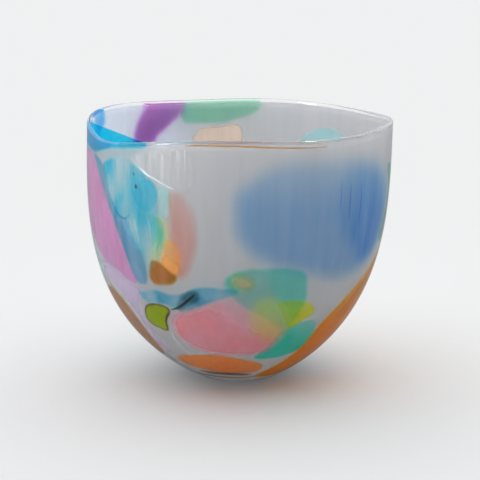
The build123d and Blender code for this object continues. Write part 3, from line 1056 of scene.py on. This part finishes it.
# seeds, the pinhead air bubbles of hand-blown glass
seeds = {"perSquareMetre": 420.0, "smallest": 0.09 * mm, "largest": 0.26 * mm, "seed": 7,
         "depth": 0.55 * mm, "rows": 40, "columns": 96, "from": 0.08, "to": 0.94}


def airGlass():
    material, tree = newMaterial("airGlass")
    air = made(tree, "ShaderNodeBsdfPrincipled", {
        "Base Color": (1, 1, 1, 1), "Roughness": 0.02, "IOR": 0.667, "Transmission Weight": 1.0})
    return finished(material, air)


# strews bubbles on a sheet
def seedTree():
    tree, given = startTree("seeds", (
        ("Per Square Metre", seeds["perSquareMetre"]), ("Smallest", seeds["smallest"]),
        ("Largest", seeds["largest"]), ("Seed", seeds["seed"])))
    strewn = addNode(tree, "GeometryNodeDistributePointsOnFaces", {
        "Mesh": given["Geometry"], "Density": given["Per Square Metre"], "Seed": given["Seed"]})
    sizes = addNode(tree, "FunctionNodeRandomValue", {
        2: given["Smallest"], 3: given["Largest"], "Seed": given["Seed"]}, data_type="FLOAT")
    ball = addNode(tree, "GeometryNodeMeshIcoSphere", {"Radius": 1.0, "Subdivisions": 2})
    smooth = made(tree, "GeometryNodeSetShadeSmooth", {"Geometry": ball.outputs["Mesh"]})
    placed = made(tree, "GeometryNodeInstanceOnPoints", {
        "Points": strewn.outputs["Points"], "Instance": smooth,
        "Scale": sizes.outputs[1]})
    return endTree(tree, placed, given["Glass"])


def seedSheet():
    rows, columns = seeds["rows"], seeds["columns"]
    rise = (seeds["to"] - seeds["from"]) / rows
    verts = [wallPoint("outside", seeds["from"] + rise * row, 2 * pi * column / columns,
                       seeds["depth"])
             for row in range(rows + 1) for column in range(columns)]
    mesh = bpy.data.meshes.new("seedSheet")
    mesh.from_pydata(verts, [], wrapped(rows, columns))
    return mesh


settle(fromTree("seeds", seedSheet(), seedTree(), airGlass()), "outer_casing")
print("crease, specks and seeds made")


# floor, light and camera
studio = {
    "floor": 0.82, "floorRadius": 14.0, "floorDrop": 0.2 * mm,
    "deepShade": (0.40, 0.055),     # strength and reach in metres of the shade under the bowl
    "pool": (-0.06, 0.30),          # a pool of light round it, as a shade below zero
    "poolMiddle": (0, -0.05, 0),
    "paper": 0.863,
    "light": (0.985, 0.995, 1.0),
    "even": 0.78, "towards": (-0.12, 0.50, 0.50),    # brighter above, behind and to the left
    "card": (0, -0.98, 0.2), "cardEdge": (0.75, 0.9), "cardLight": 0.15,
    "tentMirrored": 0.6, "floorMirrored": 0.35,
}


def falloff(tree, distance, strength, reach):
    squared = calc(tree, "POWER", calc(tree, "DIVIDE", distance, reach), 2)
    left = calc(tree, "EXPONENT", times(tree, squared, -1))
    return times(tree, left, strength)


# reflections see a dimmer tent than the glass lets through
def dimmedInMirror(tree, share):
    path = addNode(tree, "ShaderNodeLightPath").outputs
    through = calc(tree, "SUBTRACT", 1.0, path["Is Transmission Ray"])
    mirrored = times(tree, path["Is Glossy Ray"], through)
    return scaled(tree, mirrored, 0, 1, 1.0, share)


def floorMaterial():
    material, tree = newMaterial("studioFloor")
    spot = onPiece(tree)
    level = 1.0
    for middle, shade in (((0, 0, 0), "deepShade"), (studio["poolMiddle"], "pool")):
        away = measured(tree, "DISTANCE", spot, middle)
        level = calc(tree, "SUBTRACT", level, falloff(tree, away, *studio[shade]))
    grain = scaled(tree, noiseOn(tree, spot, 400.0), 0, 1, 0.995, 1.005)
    for share in (studio["floor"], grain, dimmedInMirror(tree, studio["floorMirrored"])):
        level = times(tree, level, share)
    grey = made(tree, "ShaderNodeCombineColor", {0: level, 1: level, 2: level})
    return finished(material, made(tree, "ShaderNodeBsdfDiffuse", {"Color": grey}))


def makeFloor():
    shape = bmesh.new()
    bmesh.ops.create_circle(shape, cap_ends=True, segments=96, radius=studio["floorRadius"])
    bmesh.ops.translate(shape, verts=shape.verts, vec=(0, 0, -studio["floorDrop"]))
    mesh = meshFrom(shape, "floor")
    mesh.materials.append(floorMaterial())
    link("floor", mesh)


# a pale tent with a dark card behind the camera, which draws the edges of the glass
def makeWorld():
    world = bpy.data.worlds.new("studio")
    world.use_nodes = True
    tree = world.node_tree
    tree.nodes.clear()
    towards = addNode(tree, "ShaderNodeTexCoord").outputs["Generated"]
    lean = measured(tree, "DOT_PRODUCT", towards, studio["towards"])
    front = measured(tree, "DOT_PRODUCT", towards, studio["card"])
    power = calc(tree, "ADD", lean, studio["even"])
    for share in (scaled(tree, front, *studio["cardEdge"], 1.0, studio["cardLight"], "SMOOTHSTEP"),
                  dimmedInMirror(tree, studio["tentMirrored"])):
        power = times(tree, power, share)
    tent = made(tree, "ShaderNodeBackground", {
        "Color": (*studio["light"], 1), "Strength": power})
    seen = made(tree, "ShaderNodeBackground", {
        "Color": (*(studio["paper"],) * 3, 1), "Strength": 1.0})
    direct = addNode(tree, "ShaderNodeLightPath").outputs["Is Camera Ray"]
    both = mixShaders(tree, direct, tent, seen)
    addNode(tree, "ShaderNodeOutputWorld", {"Surface": both})
    scene.world = world


lamps = {
    "window": dict(size=(0.3, 1.0), spot=(-0.8, -0.5, 0.6), target=(0, 0, 0.09), power=8),
    "spark": dict(size=(0.04, 0.04), spot=(-0.25, -0.4, 1.3), target=(0, 0, 0.17), power=1.2),
    "sparkBack": dict(size=(0.05, 0.03), spot=(0.35, 0.7, 1.1), target=(0, 0, 0.17), power=1.2),
}


# these lamps only put a sheen on the glass
def makeLamp(name, lamp):
    data = bpy.data.lights.new(name, "AREA")
    data.shape = "RECTANGLE"
    data.size, data.size_y = lamp["size"]
    data.energy = lamp["power"]
    light = bpy.data.objects.new(name, data)
    light.location = lamp["spot"]
    aim = Vector(lamp["target"]) - Vector(lamp["spot"])
    light.rotation_euler = aim.to_track_quat("-Z", "Y").to_euler()
    light.visible_diffuse = False
    scene.collection.objects.link(light)


view = {"tilt": 12.5, "distance": 0.85, "aim": (1.25 * mm, 0, 89 * mm), "lens": 96.45, "sensor": 36}


def makeCamera():
    data = bpy.data.cameras.new("camera")
    data.lens = view["lens"]
    data.sensor_width = view["sensor"]
    camera = bpy.data.objects.new("camera", data)
    tilt = radians(view["tilt"])
    aim = Vector(view["aim"])
    camera.location = aim + view["distance"] * Vector((0, -cos(tilt), sin(tilt)))
    camera.rotation_euler = (aim - camera.location).to_track_quat("-Z", "Y").to_euler()
    scene.collection.objects.link(camera)
    scene.camera = camera


makeFloor()
makeWorld()
for name, lamp in lamps.items():
    makeLamp(name, lamp)
makeCamera()
scene.view_settings.view_transform = "Standard"
scene.cycles.max_bounces = 24
scene.cycles.transmission_bounces = 16
scene.cycles.transparent_max_bounces = 48
print("studio ready")
